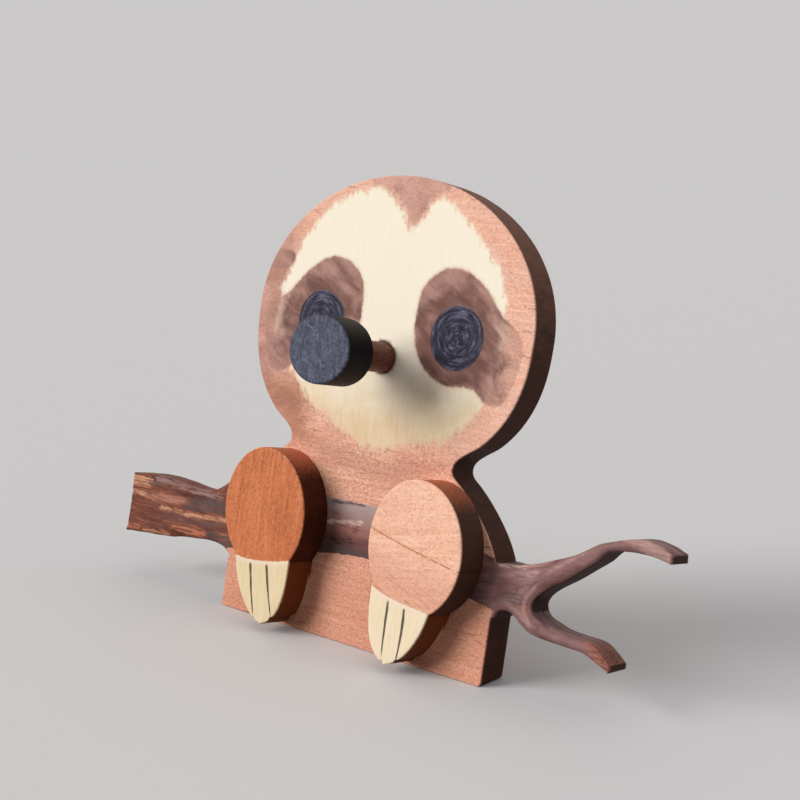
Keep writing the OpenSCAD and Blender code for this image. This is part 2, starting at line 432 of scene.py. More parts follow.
class Finish:
    """A procedural material under construction, placed by the plank's millimetres."""

    def __init__(self, name):
        self.material = bpy.data.materials.new(name)
        self.material.use_nodes = True
        self.tree = self.material.node_tree
        self.shader = self.tree.nodes["Principled BSDF"]
        self.place = self.attribute("plank", "Vector")
        split = self.node("ShaderNodeSeparateXYZ", Vector=self.place)
        self.u, self.v, self.w = split.outputs

    def node(self, kind, props=None, **inputs):
        """Adds a node; its inputs go by name or, as i0, i1 and so on, by number."""
        n = self.tree.nodes.new(kind)
        for key, value in (props or {}).items():
            setattr(n, key, value)
        for key, value in inputs.items():
            by_number = key[0] == "i" and key[1:].isdigit()
            self.put(n.inputs[int(key[1:]) if by_number else key], value)
        return n

    def put(self, socket, value):
        """Links a node's output to the socket, or sets a constant there."""
        if isinstance(value, bpy.types.NodeSocket):
            self.tree.links.new(value, socket)
        else:
            socket.default_value = value

    def attribute(self, name, out="Fac"):
        return self.node("ShaderNodeAttribute", {"attribute_name": name}).outputs[out]

    def math(self, op, a, b=0.0, clamp=False):
        return self.node("ShaderNodeMath", {"operation": op, "use_clamp": clamp}, i0=a, i1=b).outputs[0]

    def add(self, *terms):
        return reduce(lambda a, b: self.math("ADD", a, b), terms)

    def times(self, *factors):
        return reduce(lambda a, b: self.math("MULTIPLY", a, b), factors)

    def centred(self, level):
        """Noise from 0 to 1 moved to run from -0.5 to 0.5."""
        return self.add(level, -0.5)

    def nudged(self, x, centred_noise, amount):
        return self.add(x, self.times(centred_noise, amount))

    def step(self, x, low, high):
        """0 below low, 1 above high, smooth between; the other way round where low is the larger."""
        return self.node("ShaderNodeMapRange", {"interpolation_type": "SMOOTHSTEP"},
                         i0=x, i1=low, i2=high, i3=0.0, i4=1.0).outputs[0]

    def vector(self, op, a, b):
        return self.node("ShaderNodeVectorMath", {"operation": op}, i0=a, i1=b)

    def scaled(self, vector, x, y, z):
        return self.vector("MULTIPLY", vector, (x, y, z)).outputs[0]

    def turned(self, vector, degrees, axis="Z_AXIS"):
        return self.node("ShaderNodeVectorRotate", {"rotation_type": axis},
                         Vector=vector, Angle=math.radians(degrees)).outputs[0]

    def noise(self, place, scale, detail, rough, bend=0.0):
        """Noise from 0 to 1, with features about one over the scale long in each direction."""
        return self.node("ShaderNodeTexNoise", None, Vector=self.scaled(place, *scale), Scale=1.0,
                         Detail=detail, Roughness=rough, Distortion=bend).outputs[0]

    def mix(self, fac, a, b):
        return self.node("ShaderNodeMix", {"data_type": "RGBA"}, i0=fac, i6=a, i7=b).outputs[2]

    def over(self, colour, paint, *covers):
        """Paint over a colour, as dense as the product of the covers."""
        return self.mix(self.times(*covers), colour, paint)

    def ramp(self, fac, *stops):
        n = self.node("ShaderNodeValToRGB", None, Fac=fac)
        elements = n.color_ramp.elements
        while len(elements) < len(stops):
            elements.new(0.5)
        for e, (at, colour) in zip(elements, stops):
            e.position = at
            e.color = colour
        return n.outputs[0]

    def dab(self, place, a, b, half):
        """1 within half of the line from a to b, for place a vector with no third part."""
        run = Vector((b[0] - a[0], b[1] - a[1], 0.0))
        size = max(run.length_squared, 1e-6)
        start = self.vector("SUBTRACT", place, (a[0], a[1], 0.0)).outputs[0]
        share = self.vector("DOT_PRODUCT", start, run / size).outputs["Value"]
        along = self.math("ADD", share, 0.0, clamp=True)
        near = self.node("ShaderNodeVectorMath", {"operation": "SCALE"}, i0=run, Scale=along).outputs[0]
        distance = self.vector("DISTANCE", start, near).outputs["Value"]
        return self.step(distance, half + 0.6, half - 0.35)

    def done(self, colour, height, depth, rough, specular):
        """Joins colour, a height from 0 to 1 that is depth millimetres deep, and roughness."""
        self.put(self.shader.inputs["Base Color"], colour)
        self.put(self.shader.inputs["Roughness"], rough)
        self.shader.inputs["Specular IOR Level"].default_value = specular
        bump = self.node("ShaderNodeBump", None, Strength=1.0, Distance=depth * MM, Height=height)
        self.put(self.shader.inputs["Normal"], bump.outputs[0])
        return self.material


# ---- stained wood ----

BOARD_TONES = (rgb(250, 200, 174), rgb(230, 170, 144), rgb(206, 140, 114), rgb(150, 90, 70))
LEFT_TONES = (rgb(216, 133, 90), rgb(201, 118, 75), rgb(177, 95, 58), rgb(151, 77, 48))
RIGHT_TONES = (rgb(252, 203, 177), rgb(244, 191, 163), rgb(228, 171, 143), rgb(204, 141, 115))
DOWEL_TONES = (rgb(132, 70, 50), rgb(104, 50, 34), rgb(72, 34, 22), rgb(42, 20, 14))
LEFT_CLAWS = (rgb(230, 210, 172), rgb(221, 200, 161))
RIGHT_CLAWS = (rgb(240, 222, 192), rgb(231, 212, 180))
# the sawn sides' stain is darker than the stain alone would be, as painted shade
SIDE_COLOUR = rgb(68, 25, 14)
SIDE_DARK = rgb(36, 11, 6)
SIDE_SHEEN = rgb(158, 112, 94)


def wood(f, place, tones, pore_amount=0.5, spread=0.2):
    """Fine-pored stained wood with its grain along the first axis of place: (colour, height).

    A wider spread of the tones over the fibres makes the streaks fainter.
    """
    light, middle, dark, pore = tones
    fibre = f.noise(place, (0.05, 0.8, 0.8), 6, 0.62, 0.25)
    fleck = f.noise(place, (0.85, 1.3, 1.3), 5, 0.74, 0.5)
    fine = f.noise(place, (1.8, 2.3, 2.3), 2, 0.6)
    cloud = f.noise(place, (0.05, 0.09, 0.09), 4, 0.62, 0.5)
    colour = f.ramp(fibre, (0.5 - 0.8 * spread, light), (0.50, middle), (0.5 + 1.1 * spread, dark))
    colour = f.over(colour, dark, f.step(cloud, 0.46, 0.66), 0.32)
    speck = f.add(f.times(fleck, 0.6), f.times(fine, 0.4))
    pores = f.step(speck, 0.50, 0.61)
    colour = f.over(colour, pore, pores, pore_amount)
    colour = f.over(colour, light, f.step(speck, 0.49, 0.40), 0.6)
    height = f.add(f.times(fibre, 0.45), f.times(pores, -0.5))
    return colour, height


def darker_sides(f, colour, w_front, w_back=None):
    """Sawn edges drink more stain than the planed faces, made darker still as painted shade, with a
    painted sheen up the head: (colour, where the sides are).
    """
    side = f.step(f.w, w_front - 0.25, w_front - 0.75)
    if w_back is not None:
        side = f.times(side, f.step(f.w, w_back + 0.2, w_back + 0.7))
    streak = f.noise(f.place, (0.35, 0.35, 0.12), 4, 0.65)
    stain = f.ramp(streak, (0.35, SIDE_DARK), (0.68, SIDE_COLOUR))
    # up the head the sawn side is painted lighter, as painted light from above and a painted sheen
    sheen_up_head = f.step(f.nudged(f.v, f.centred(streak), 40.0), 96.0, 146.0)
    stain = f.over(stain, SIDE_SHEEN, sheen_up_head, 0.6)
    return f.over(colour, stain, side, 0.94), side


# ---- the plank's finish ----

def stained_plank(f):
    """Bare stained wood, palest on the head and warmest at the foot: (colour, height)."""
    head = f.step(f.v, 60.0, 76.0)
    colour, height = wood(f, f.place, BOARD_TONES, f.add(0.5, f.times(head, -0.2)), 0.32)
    colour = f.over(colour, rgb(200, 126, 94), f.step(f.v, 52.0, 8.0), 0.42)
    drift = f.noise(f.place, (0.05, 0.07, 0.05), 4, 0.6, 0.8)
    pale = f.ramp(drift, (0.40, rgb(252, 196, 168)), (0.62, rgb(246, 208, 196)))
    colour = f.over(colour, pale, head, 0.34)
    # sparse long dark grain lines
    wave = f.centred(f.noise(f.place, (0.035, 0.30, 0.02), 3, 0.5, 0.2))
    gaps = f.noise(f.place, (0.06, 0.3, 0.3), 3, 0.5)
    lines = f.times(f.step(f.math("ABSOLUTE", wave), 0.012, 0.003), f.step(gaps, 0.53, 0.60))
    colour = f.over(colour, rgb(128, 70, 54), lines, 0.55)
    colour, _ = darker_sides(f, colour, 0.0, -STOCK)
    return colour, height


def head_washes(f, colour):
    """Thin washes over the crown, below the chin, on the left jowl and up the left temple."""
    crown = f.step(f.nudged(f.attribute("crown"), f.grit, 9.0), -1.5, 2.0)
    mauve = f.ramp(f.patchy, (0.36, rgb(160, 114, 108)), (0.62, rgb(212, 162, 150)))
    colour = f.over(colour, mauve, crown, f.front, 0.72)

    chin = f.step(f.nudged(f.attribute("chin"), f.grit, 12.0), -1.0, 3.0)
    colour = f.over(colour, rgb(168, 112, 96), chin, f.front, 0.34)

    jowl = f.times(f.step(f.nudged(f.u, f.grit, 16.0), -22.0, -34.0),
                   f.step(f.v, 58.0, 66.0), f.step(f.v, 92.0, 78.0))
    umber = f.ramp(f.patchy, (0.38, rgb(146, 92, 72)), (0.62, rgb(192, 132, 106)))
    colour = f.over(colour, umber, jowl, f.front, 0.75)

    temple = f.times(f.step(f.nudged(f.times(f.u, -1.0), f.grit, 14.0), 38.0, 50.0),
                     f.step(f.v, 76.0, 90.0))
    rose = f.ramp(f.patchy, (0.38, rgb(158, 112, 102)), (0.62, rgb(200, 152, 140)))
    return f.over(colour, rose, temple, f.front, 0.72)


def cream_mask(f, colour):
    """The cream face, its edge ragged with short upright strokes: (colour, cover)."""
    strokes = f.centred(f.noise(f.place, (0.42, 0.15, 0.3), 3, 0.55, 0.3))
    mask = f.add(f.attribute("mask"), f.times(strokes, 6.5), f.times(f.slanted, 3.6),
                 f.times(f.grit, 2.6))
    colour = f.over(colour, rgb(240, 214, 186), f.step(mask, -2.2, 0.2), f.front, 0.42)

    # a few faint bristle strokes just below the mask
    hairs = f.noise(f.turned(f.place, -15), (1.1, 0.4, 0.3), 4, 0.7, 0.6)
    fringe = f.times(f.step(f.nudged(mask, f.centred(hairs), 5.0), -3.6, -1.6),
                     f.step(f.v, 90.0, 78.0), f.step(f.patchy, 0.42, 0.56))
    colour = f.over(colour, rgb(140, 100, 86), fringe, f.front, f.step(hairs, 0.46, 0.62), 0.42)

    # the lower cream is darker and yellower: thinner paint over the wood, and partly a painted shade
    # below the nose
    upper = f.step(f.nudged(f.v, f.centred(f.patchy), 30.0), 66.0, 98.0)
    cream = f.mix(upper, f.ramp(f.brushed, (0.3, rgb(232, 206, 167)), (0.7, rgb(221, 191, 154))),
                  f.ramp(f.brushed, (0.3, rgb(244, 235, 216)), (0.7, rgb(242, 231, 210))))
    cover = f.times(f.step(mask, -1.0, 1.1), f.front)
    return f.mix(cover, colour, cream), cover


def eyes(f, colour, cream_cover):
    """Dark round eyes in brown patches: (colour, the eyes' cover, their strokes)."""
    eye_u = f.math("SUBTRACT", f.math("ABSOLUTE", f.add(f.u, -EYE_MIDDLE)), EYE_OFFSET)
    eye_v = f.add(f.v, -EYE_V)
    radius = f.math("SQRT", f.add(f.times(eye_u, eye_u), f.times(eye_v, eye_v)))

    # the patches are darkest next to the eyes and rubbed thin towards the sides
    smear = f.noise(f.turned(f.place, 30), (0.08, 0.16, 0.2), 5, 0.62, 0.7)
    near = f.step(f.nudged(radius, f.centred(smear), 22.0), 21.0, 11.0)
    brown = f.mix(near, f.ramp(smear, (0.34, rgb(144, 106, 98)), (0.66, rgb(180, 138, 126))),
                  f.ramp(smear, (0.36, rgb(106, 73, 65)), (0.64, rgb(136, 98, 88))))
    patch = f.add(f.attribute("patch"), f.times(f.grit, 1.3), f.times(f.slanted, 1.2))
    colour = f.over(colour, rgb(216, 172, 142), f.step(patch, -1.3, 0.3), cream_cover, 0.5)
    rubbed = f.step(f.nudged(f.math("ABSOLUTE", f.u), f.centred(smear), 16.0), 43.0, 52.0)
    thickness = f.math("SUBTRACT", 1.0, f.times(rubbed, 0.55))
    colour = f.over(colour, brown, f.step(patch, -0.4, 0.6), f.front, thickness)

    # short circling strokes in the eyes
    angle = f.math("ARCTAN2", eye_v, eye_u)
    swirl = f.node("ShaderNodeCombineXYZ", None, i0=f.nudged(radius, f.grit, 2.4),
                   i1=f.math("SINE", angle), i2=f.math("COSINE", angle)).outputs[0]
    strokes = f.noise(swirl, (1.25, 1.5, 1.5), 4, 0.65, 0.3)
    tones = f.ramp(strokes, (0.38, rgb(28, 26, 36)), (0.52, rgb(54, 52, 68)),
                   (0.68, rgb(106, 106, 128)))
    edge = f.nudged(radius, f.grit, 1.4)
    cover = f.times(f.step(edge, EYE_RADIUS + 0.3, EYE_RADIUS - 0.3), f.front)
    return f.mix(cover, colour, tones), cover, strokes


TAN, ORANGE, PINK = rgb(198, 142, 110), rgb(186, 114, 84), rgb(168, 114, 98)
MAUVE, PALE, BLOOM = rgb(142, 110, 106), rgb(212, 182, 168), rgb(186, 150, 140)
RUST, PLUM, SOOT, INK = rgb(98, 52, 40), rgb(106, 66, 61), rgb(84, 67, 64), rgb(46, 26, 26)

# brush dabs on the branch's front: from, to, half width, colour
BOLD_DABS = (
    # stump
    ((-110, 24), (-88, 26), 2.2, RUST), ((-90, 26), (-58, 27.5), 1.8, PLUM),
    ((-99, 31), (-81, 32.8), 1.2, PINK), ((-86, 22), (-69, 22.3), 1.0, ORANGE),
    ((-112, 35.4), (-102, 36), 1.8, TAN), ((-101, 36), (-96, 36.6), 0.7, SOOT),
    ((-112, 31.3), (-104, 31.7), 0.9, TAN), ((-94, 28), (-79, 28.6), 0.5, TAN),
    ((-80, 28), (-60, 29.6), 0.7, TAN), ((-79, 32.4), (-60, 34), 2.3, SOOT),
    ((-89, 20.6), (-81, 19.8), 1.2, RUST), ((-111, 18.2), (-105, 18.8), 0.8, ORANGE),
    ((-101, 18.4), (-88, 19), 0.6, TAN), ((-68, 22.6), (-56, 22), 1.9, SOOT),
    ((-98, 38.4), (-64, 36.8), 1.0, MAUVE),
    # across the body
    ((-20, 28.4), (7, 30.6), 1.1, SOOT), ((-12, 38.7), (1, 40.3), 0.6, PALE),
    ((-1, 37.8), (0, 38), 0.8, PLUM), ((-10, 33), (-1.5, 34.6), 0.45, INK),
    ((-9, 31.8), (-1, 33.2), 0.3, INK), ((-12, 45.4), (2, 46.4), 0.4, SOOT),
)
# the same on the root and the twigs, where the paint is thinner
THIN_DABS = (
    ((58, 38.6), (66, 39.6), 0.7, PALE), ((66, 39.8), (74, 43.4), 0.7, BLOOM),
    ((68, 37.6), (70.5, 38.6), 0.6, BLOOM), ((64, 32.4), (70.5, 35.7), 0.3, SOOT),
    ((67.5, 27.4), (68, 26), 1.2, PINK), ((74, 39.6), (85, 47.6), 0.45, BLOOM),
    ((72, 35.4), (84, 43.2), 0.6, PLUM), ((58, 28.5), (66, 29.5), 1.6, SOOT),
    ((76, 23.6), (88, 24.6), 0.8, BLOOM), ((97, 54.4), (116, 55), 0.9, BLOOM),
    ((105, 52.8), (114, 51), 1.3, BLOOM), ((90, 22.9), (100, 22.2), 1.3, ORANGE),
)


def bark_ground(f, streak, thin):
    """The bark's colour below the dabs, on the stump, across the body and out on the twigs."""
    tone = f.add(f.times(streak, 0.6), f.times(thin, 0.4))
    layers = f.ramp(tone, (0.37, rgb(76, 38, 28)), (0.47, rgb(110, 62, 48)), (0.56, rgb(138, 82, 62)),
                    (0.67, rgb(186, 124, 94)))
    soft = f.add(f.times(streak, 0.8), f.times(thin, 0.2))
    mauve = f.ramp(soft, (0.34, rgb(96, 64, 60)), (0.47, rgb(126, 91, 89)),
                   (0.55, rgb(142, 107, 104)), (0.66, rgb(188, 154, 146)))
    # below a grey-mauve top the band across the body goes down through red-brown to soot
    across = f.times(f.add(f.nudged(f.v, f.centred(streak), 9.0), -29.0), 1 / 18.0)
    band = f.ramp(across, (0.05, rgb(84, 62, 60)), (0.28, rgb(108, 68, 62)), (0.5, rgb(150, 100, 92)),
                  (0.66, rgb(156, 120, 114)), (0.9, rgb(170, 146, 144)))
    band = f.over(band, rgb(80, 56, 56), f.step(tone, 0.44, 0.34), 0.5)
    on_body = f.times(f.step(f.u, -50.0, -42.0), f.step(f.u, 55.0, 47.0))
    return f.mix(on_body, f.mix(f.step(f.u, 0.0, -1.0), mauve, layers), band)


def bark(f):
    """Streaky hand-painted bark along the branch: (colour, height)."""
    along_twig = f.node("ShaderNodeCombineXYZ", None, i0=f.u, i1=f.attribute("depth")).outputs[0]
    on_twig = f.step(f.u, 52.0, 60.0)

    def streaks(x, y, detail, rough, bend):
        """Streaks that run along u on the stump and the body, and follow the outline on the twigs."""
        level = f.noise(f.place, (x, y, y), detail, rough, bend)
        curved = f.noise(along_twig, (x, y, 1.0), detail, rough, 0.5 * bend)
        return f.nudged(level, f.math("SUBTRACT", curved, level), on_twig)

    streak = streaks(0.05, 0.26, 5, 0.6, 0.9)
    thin = streaks(0.10, 0.95, 4, 0.66, 0.8)
    colour = bark_ground(f, streak, thin)

    # dabs with frayed ends, from a nearly dry brush
    frayed = f.centred(f.noise(f.place, (0.30, 0.9, 0.9), 4, 0.7, 0.4))
    stray = f.node("ShaderNodeCombineXYZ", None,
                   i0=f.times(frayed, 6.8), i1=f.times(frayed, 3.4)).outputs[0]
    flat = f.vector("ADD", f.scaled(f.place, 1, 1, 0), stray).outputs[0]
    bristles = f.noise(f.place, (0.14, 1.5, 1.5), 3, 0.62, 0.5)
    dry = f.add(f.times(f.step(bristles, 0.42, 0.54), 0.8), 0.2)
    facing = f.times(f.step(f.w, -4.5, -2.5), dry)
    for dabs, density in ((BOLD_DABS, 0.95), (THIN_DABS, 0.6)):
        for a, b, half, paint in dabs:
            colour = f.over(colour, paint, f.dab(flat, a, b, half), facing, density)

    colour = f.over(colour, rgb(66, 44, 42), f.step(thin, 0.38, 0.30), 0.5)
    # towards the branch's ends the paint is thin; the sides facing down or to the right are left in
    # dark stain and darkened further as painted shade
    bare = f.add(f.times(f.attribute("limb_end"), 0.35), f.times(streak, 0.7))
    colour = f.over(colour, f.mix(dry, RUST, ORANGE), f.step(bare, 0.46, 0.64), 0.5)
    stain_and_painted_shade = f.nudged(f.attribute("shaded"), frayed, 0.9)
    colour = f.over(colour, rgb(52, 20, 12), f.step(stain_and_painted_shade, 0.30, 0.62), 0.94)
    return colour, f.add(streak, f.times(thin, 0.8))


def board_finish():
    """Stain, face paint and bark, laid out by the distances from board_facts()."""
    f = Finish("stained_plank")
    f.front = f.step(f.w, -0.75, -0.25)
    f.grit = f.centred(f.noise(f.place, (0.5, 0.5, 0.5), 5, 0.72, 0.5))
    f.patchy = f.noise(f.place, (0.09, 0.12, 0.1), 5, 0.65, 0.6)
    f.slanted = f.centred(f.noise(f.turned(f.place, 50), (0.17, 0.55, 0.3), 3, 0.62, 0.3))
    f.brushed = f.noise(f.turned(f.place, 84), (0.09, 0.8, 0.3), 4, 0.6)

    colour, height = stained_plank(f)
    colour = head_washes(f, colour)
    colour, cream = cream_mask(f, colour)
    colour, eye, strokes = eyes(f, colour, cream)
    height = f.mix(f.math("MAXIMUM", cream, eye), height, f.times(f.add(f.brushed, strokes), 0.45))

    # a paler, greyer patch on the shoulder above the stump
    greyed_shoulder = f.times(f.step(f.u, -54.0, -58.0), f.step(f.v, 34.0, 38.0), f.step(f.v, 54.0, 46.0))
    colour = f.over(colour, rgb(176, 158, 142), greyed_shoulder, f.front, 0.45)

    # bark paint round the whole stump and fork, and across the body
    bark_colour, bark_height = bark(f)
    band = f.step(f.nudged(f.attribute("band"), f.slanted, 1.4), -0.12, 0.2)
    limb = f.step(f.nudged(f.attribute("limb"), f.grit, 2.4), -0.5, 0.7)
    painted = f.math("MAXIMUM", f.times(band, f.front), limb)
    colour = f.mix(painted, colour, bark_colour)
    height = f.mix(painted, height, bark_height)

    # rubbed, lighter front edges: partly wear, partly a painted highlight where the rounding catches
    # the light
    edge_wear_and_highlight = f.step(f.nudged(f.attribute("rim"), f.grit, 1.6), 0.75, 1.05)
    colour = f.over(colour, rgb(232, 182, 156), edge_wear_and_highlight, 0.45)
    rough = f.add(0.60, f.times(painted, -0.08), f.times(f.grit, 0.2))
    return f.done(colour, height, 0.12, rough, 0.1)


# ---- the other finishes ----

def cracked_stain(f, colour, height):
    """Slanting darker grain above the claws, and one long hairline crack: (colour, height)."""
    lines = f.noise(f.turned(f.place, 20), (0.12, 1.6, 0.5), 4, 0.65, 0.3)
    low = f.step(f.nudged(f.attribute("claw"), f.centred(lines), 12.0), -19.0, -4.0)
    colour = f.over(colour, rgb(212, 150, 124), low, 0.55)
    colour = f.over(colour, rgb(170, 108, 84), f.step(lines, 0.46, 0.36), low, 0.55)

    waver = f.noise(f.place, (0.5, 0.5, 0.5), 4, 0.7)
    crack = f.math("ABSOLUTE", f.nudged(f.attribute("crack"), f.centred(waver), 0.5))
    halo = f.times(f.step(crack, 1.1, 0.1), f.step(waver, 0.30, 0.60))
    line = f.times(f.step(crack, 0.30, 0.08), f.step(waver, 0.34, 0.50))
    colour = f.over(colour, rgb(222, 150, 108), halo, 0.30)
    colour = f.over(colour, rgb(160, 100, 68), line, 0.72)
    return colour, f.add(height, f.times(line, -0.9))


def paw_finish(name, tones, claw_tones, grain, cracked):
    """Stained paw with its grain at an angle, and cream claws with two dark lines between them."""
    f = Finish(name)
    colour, height = wood(f, f.turned(f.place, grain), tones, 0.45)
    if cracked:
        colour, height = cracked_stain(f, colour, height)
    colour, side = darker_sides(f, colour, STOCK)
    grit = f.centred(f.noise(f.place, (0.7, 0.7, 0.7), 4, 0.7))
    below_top = f.attribute("claw")

    # the stain is thinner round the claws; over the top the sides are painted lighter, as painted light
    # from above
    colour = f.over(colour, rgb(126, 66, 34), side, f.step(below_top, 0.0, 1.5), 0.85)
    top = f.step(f.nudged(f.v, grit, 8.0), 51.0, 60.0)
    colour = f.over(colour, rgb(206, 120, 86), side, top, 0.9)

    # cream on the claws' front, just over its edge, and a little beside the plank
    bristle = f.centred(f.noise(f.place, (0.9, 0.30, 0.6), 4, 0.6))
    brushed = f.noise(f.place, (1.1, 0.10, 0.6), 4, 0.6)
    depth = f.add(below_top, bristle)
    cream = f.ramp(brushed, (0.34, claw_tones[0]), (0.66, claw_tones[1]))
    cream = f.over(cream, rgb(240, 218, 202), f.step(depth, 2.4, 0.4), 0.5)
    height_up = f.nudged(f.w, grit, 0.9)
    on_front = f.step(height_up, STOCK - 0.75, STOCK - 0.35)
    by_plank = f.times(f.step(height_up, 1.3, 0.9), f.step(below_top, 4.0, 8.0), 0.7)
    claws = f.times(f.step(depth, -0.15, 0.25), f.math("MAXIMUM", on_front, by_plank))
    colour = f.mix(claws, colour, cream)

    # the lines are widest at the claws' top and end short of the tips
    width = f.nudged(f.step(below_top, 18.0, 2.0), bristle, 1.1)
    half = f.add(f.times(width, 0.26), 0.28)
    ends = f.step(f.nudged(below_top, bristle, 4.0), 19.5, 16.5)
    length = f.times(f.step(below_top, 0.8, 1.8), ends)
    for key in ("line_a", "line_b"):
        beside = f.math("SUBTRACT", f.math("ABSOLUTE", f.attribute(key)), half)
        ink = f.times(f.step(beside, 0.14, -0.12), length, on_front, f.step(brushed, 0.30, 0.46))
        colour = f.over(colour, rgb(64, 50, 44), ink, 0.92)

    # lighter front edges: partly wear, partly a painted highlight
    edge_wear_and_highlight = f.step(f.nudged(f.attribute("rim"), grit, 1.2), 0.7, 1.0)
    colour = f.over(colour, rgb(250, 218, 194), edge_wear_and_highlight, 0.7)
    height = f.mix(claws, height, f.times(brushed, 0.6))
    return f.done(colour, height, 0.09, f.add(0.60, f.times(bristle, 0.15)), 0.1)


def nose_finish():
    """Brushed blue-black paint with a few scratches; black sides made darker still as painted shade,
    and rubbed edges partly a painted highlight.
    """
    f = Finish("nose_paint")
    stroke = f.noise(f.turned(f.place, 78), (0.25, 0.7, 0.6), 5, 0.7, 1.2)
    fleck = f.noise(f.place, (1.0, 1.0, 1.0), 4, 0.78, 0.4)
    both = f.add(f.times(stroke, 0.5), f.times(fleck, 0.5))
    colour = f.ramp(both, (0.38, rgb(40, 41, 52)), (0.50, rgb(68, 71, 88)), (0.62, rgb(102, 106, 126)))
    scratch = f.noise(f.turned(f.place, 20), (0.25, 2.4, 1.0), 3, 0.6, 0.6)
    colour = f.over(colour, rgb(140, 144, 160), f.step(scratch, 0.62, 0.70), 0.5)
    # the sides are black paint made darker than paint is, as painted shade
    side = f.step(f.w, NOSE_GAP + STOCK - 0.2, NOSE_GAP + STOCK - 0.8)
    black = f.ramp(both, (0.4, rgb(4, 3, 3)), (0.65, rgb(12, 10, 11)))
    colour = f.over(colour, black, side, 0.95)
    # a pale rim on the front edge: partly rubbed paint, partly a painted highlight
    edge_wear_and_highlight = f.step(f.nudged(f.attribute("rim"), f.centred(fleck), 1.4), 0.75, 1.05)
    colour = f.over(colour, rgb(150, 150, 156), edge_wear_and_highlight, 0.5)
    return f.done(colour, both, 0.14, f.add(0.44, f.times(fleck, 0.2)), 0.14)


def object_place(f, degrees, axis):
    """Millimetres on a CAD node, which has no plank attribute, turned to lie along its grain."""
    coord = f.node("ShaderNodeTexCoord").outputs["Object"]
    return f.scaled(f.turned(coord, degrees, axis), 1 / MM, 1 / MM, 1 / MM)


def dowel_finish():
    f = Finish("stained_dowel")
    place = object_place(f, math.degrees(LEAN) - 90, "X_AXIS")
    colour, height = wood(f, place, DOWEL_TONES, 0.6)
    return f.done(colour, height, 0.08, 0.55, 0.4)


def strut_finish():
    f = Finish("strut_wood")
    colour, height = wood(f, object_place(f, 90, "Y_AXIS"), BOARD_TONES)
    return f.done(colour, height, 0.10, 0.68, 0.35)


# ---- plank ----

def on_branch(p, fade=6.0):
    """0 on the body, 1 out on the branch."""
    return np.clip((np.abs(p[:, 0]) - BODY_HALF - 1) / fade, 0, 1)


def board_round(loop):
    """Sanded edges: slight on the body, fuller along the branch."""
    return 0.45 + 1.0 * on_branch(loop)


def board_wobble(loop):
    """The head and body are sawn cleanly, the branch is whittled."""
    return 0.04 + 0.18 * on_branch(loop)


def carve_branch(p, edge):
    """Shallow whittled grooves and softened edges on the branch's two faces."""
    branch = on_branch(p)
    across = np.where(p[:, 0] > 0, edge, p[:, 1])
    groove = np.array([noise.fractal(Vector((q[0] / 15, a / 2.3, 3.0 + q[2] / 30)), 0.8, 2.1, 3)
                       if b > 0 else 0 for q, a, b in zip(p, across, branch)])
    soft = np.clip(1 - edge / 3.4, 0, 1) ** 2
    depth = branch * (0.42 * np.clip(groove + 0.35, 0, 1.2) + 0.5 * soft)
    on_front = np.clip(1 - np.abs(p[:, 2]) / 2.5, 0, 1)
    on_back = np.clip(1 - np.abs(p[:, 2] + STOCK) / 2.5, 0, 1)
    p[:, 2] += depth * (on_back - on_front)
    return p


def board():
    p, faces, edge, inwards = sawn_piece(
        "board", seed=11, w_back=-STOCK, w_front=0.0, step=1.25, round_front=board_round,
        round_back=board_round, wobble=board_wobble, hole=(NOSE_AT, DOWEL_HOLE, 8.0, 1),
        on_table=True)
    p = carve_branch(p, edge)
    make_object("sloth_plank", "board", p, faces, board_facts(p, edge, inwards),
                board_finish())


# ---- paws ----

def side_of_line(uv, a, b, bow):
    """Signed distance to a slightly bowed line from a to b."""
    a, b = np.array(a, float), np.array(b, float)
    along = (b - a) / norm(b - a)
    across = np.array([-along[1], along[0]])
    t = (uv - a) @ along / norm(b - a)
    return (uv - a) @ across + bow * 4 * t * (1 - t)


def same_everywhere(value):
    """An edge radius or a wobble that is the same all round."""
    return lambda loop: np.full(len(loop), value)


def paw(name, node, seed, claw_top, lines, tones, claw_tones, grain, crack=None):
    """One paw. claw_top is the claws' upper border; lines and crack are (from, to, bow)."""
    def nicked(loop):
        """Small nicks where the lines between the claws run out over the tip."""
        nicks = np.zeros(len(loop))
        for _, (tip_u, _), _ in lines:
            nicks += np.exp(-((loop[:, 0] - tip_u) / 0.75) ** 2)
        return 0.05 + 0.55 * nicks * (loop[:, 1] < 10)

    p, faces, edge, _ = sawn_piece(
        node, seed, w_back=0.0, w_front=STOCK, step=1.0, round_front=same_everywhere(0.42),
        round_back=same_everywhere(0.12), wobble=nicked, outline_step=0.6)
    uv = p[:, :2]
    top = np.interp(uv[:, 0], *np.array(claw_top, float).T)
    facts = {"claw": top - uv[:, 1], "rim": rim_of(p, edge, STOCK)}
    for key, line in zip(("line_a", "line_b"), lines):
        facts[key] = side_of_line(uv, *line)
    if crack:
        facts["crack"] = side_of_line(uv, *crack)
    make_object(name, node, p, faces, facts,
                paw_finish(name + "_wood", tones, claw_tones, grain, bool(crack)))


# ---- nose, dowel and strut ----

def nose():
    p, faces, edge, _ = sawn_piece(
        "nose_block", seed=4, w_back=NOSE_GAP, w_front=NOSE_GAP + STOCK, step=0.8,
        round_front=same_everywhere(0.7), round_back=same_everywhere(0.42),
        wobble=same_everywhere(0.05), hole=(NOSE_AT, DOWEL_HOLE, 7.0, -1))
    make_object("nose_oval", "nose_block", p, faces,
                {"rim": rim_of(p, edge, NOSE_GAP + STOCK)}, nose_finish())


